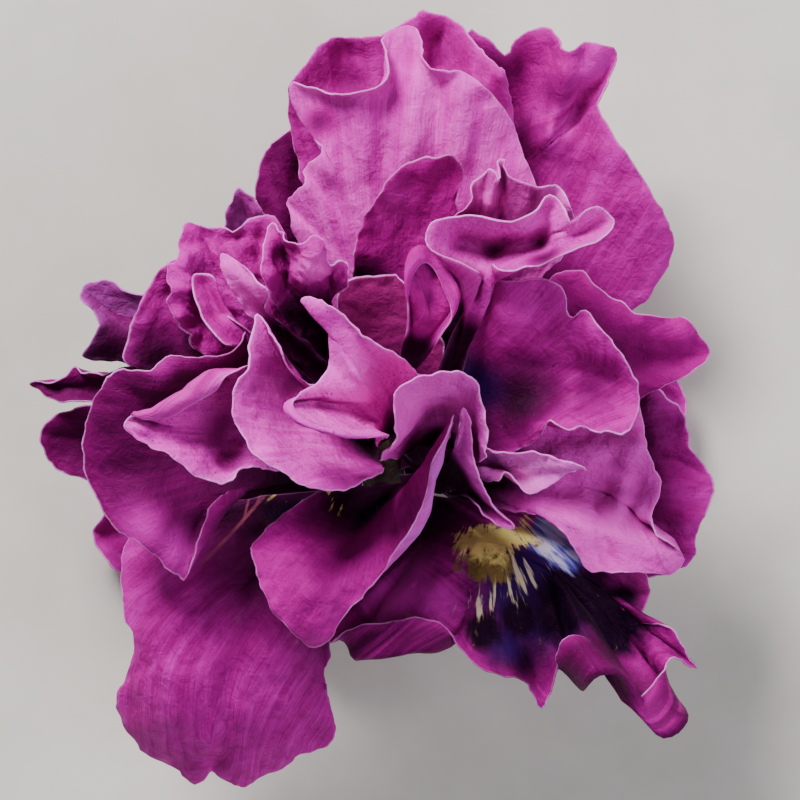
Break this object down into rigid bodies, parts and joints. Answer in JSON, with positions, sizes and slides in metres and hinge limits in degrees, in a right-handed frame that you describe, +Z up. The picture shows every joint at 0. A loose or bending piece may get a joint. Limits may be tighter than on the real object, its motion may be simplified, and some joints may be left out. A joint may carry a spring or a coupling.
{
  "type": "siberian iris flower",
  "caption": "Double, heavily ruffled iris bloom lying on its back, with drooping falls, folded standards, a ribbed ovary, papery bracts and a short cut stem.",
  "frame": {"origin": "centre of the bloom's outline seen from above, on the surface it lies on", "axes": "+Z up from the surface, out of the front of the bloom; +Y to the bloom's top, its longest way; +X to its right as seen from the front"},
  "size_m": [0.0987, 0.1126, 0.0721],
  "materials": {
    "petal": "matte",
    "petal_dark": "matte",
    "petal_signal": "matte",
    "receptacle": "satin",
    "stem": "satin",
    "bract": "matte"
  },
  "bodies": {
    "root": {"standard_front": "petal", "standard_back": "petal", "standard_inner": "petal_dark", "standard_right": "petal", "petal_upper_left": "petal_dark", "petal_small_curl": "petal", "crest_outer": "petal", "crest_ridge": "petal", "crest_tongue": "petal", "crest_loop": "petal_dark", "far_left_point": "petal_dark", "far_left_curl": "petal_dark", "far_left_rise": "petal_dark", "far_left_lower": "petal_dark", "left_broad": "petal", "left_lip": "petal", "centre_left": "petal", "centre_scroll": "petal", "centre_rim": "petal", "centre_flap": "petal", "centre_ribbon": "petal", "centre_back": "petal", "right_crest": "petal", "right_crest_back": "petal", "right_curl": "petal", "right_broad": "petal", "far_right": "petal", "back_right": "petal", "right_crumpled": "petal", "fall_centre": "petal_signal", "fall_left": "petal_signal", "fall_right": "petal_signal", "under_left": "petal", "under_right": "petal", "under_top": "petal", "receptacle": "receptacle", "ovary": "stem", "stem": "stem", "spathe_outer": "bract", "spathe_inner": "bract"}
  },
  "joints": []
}
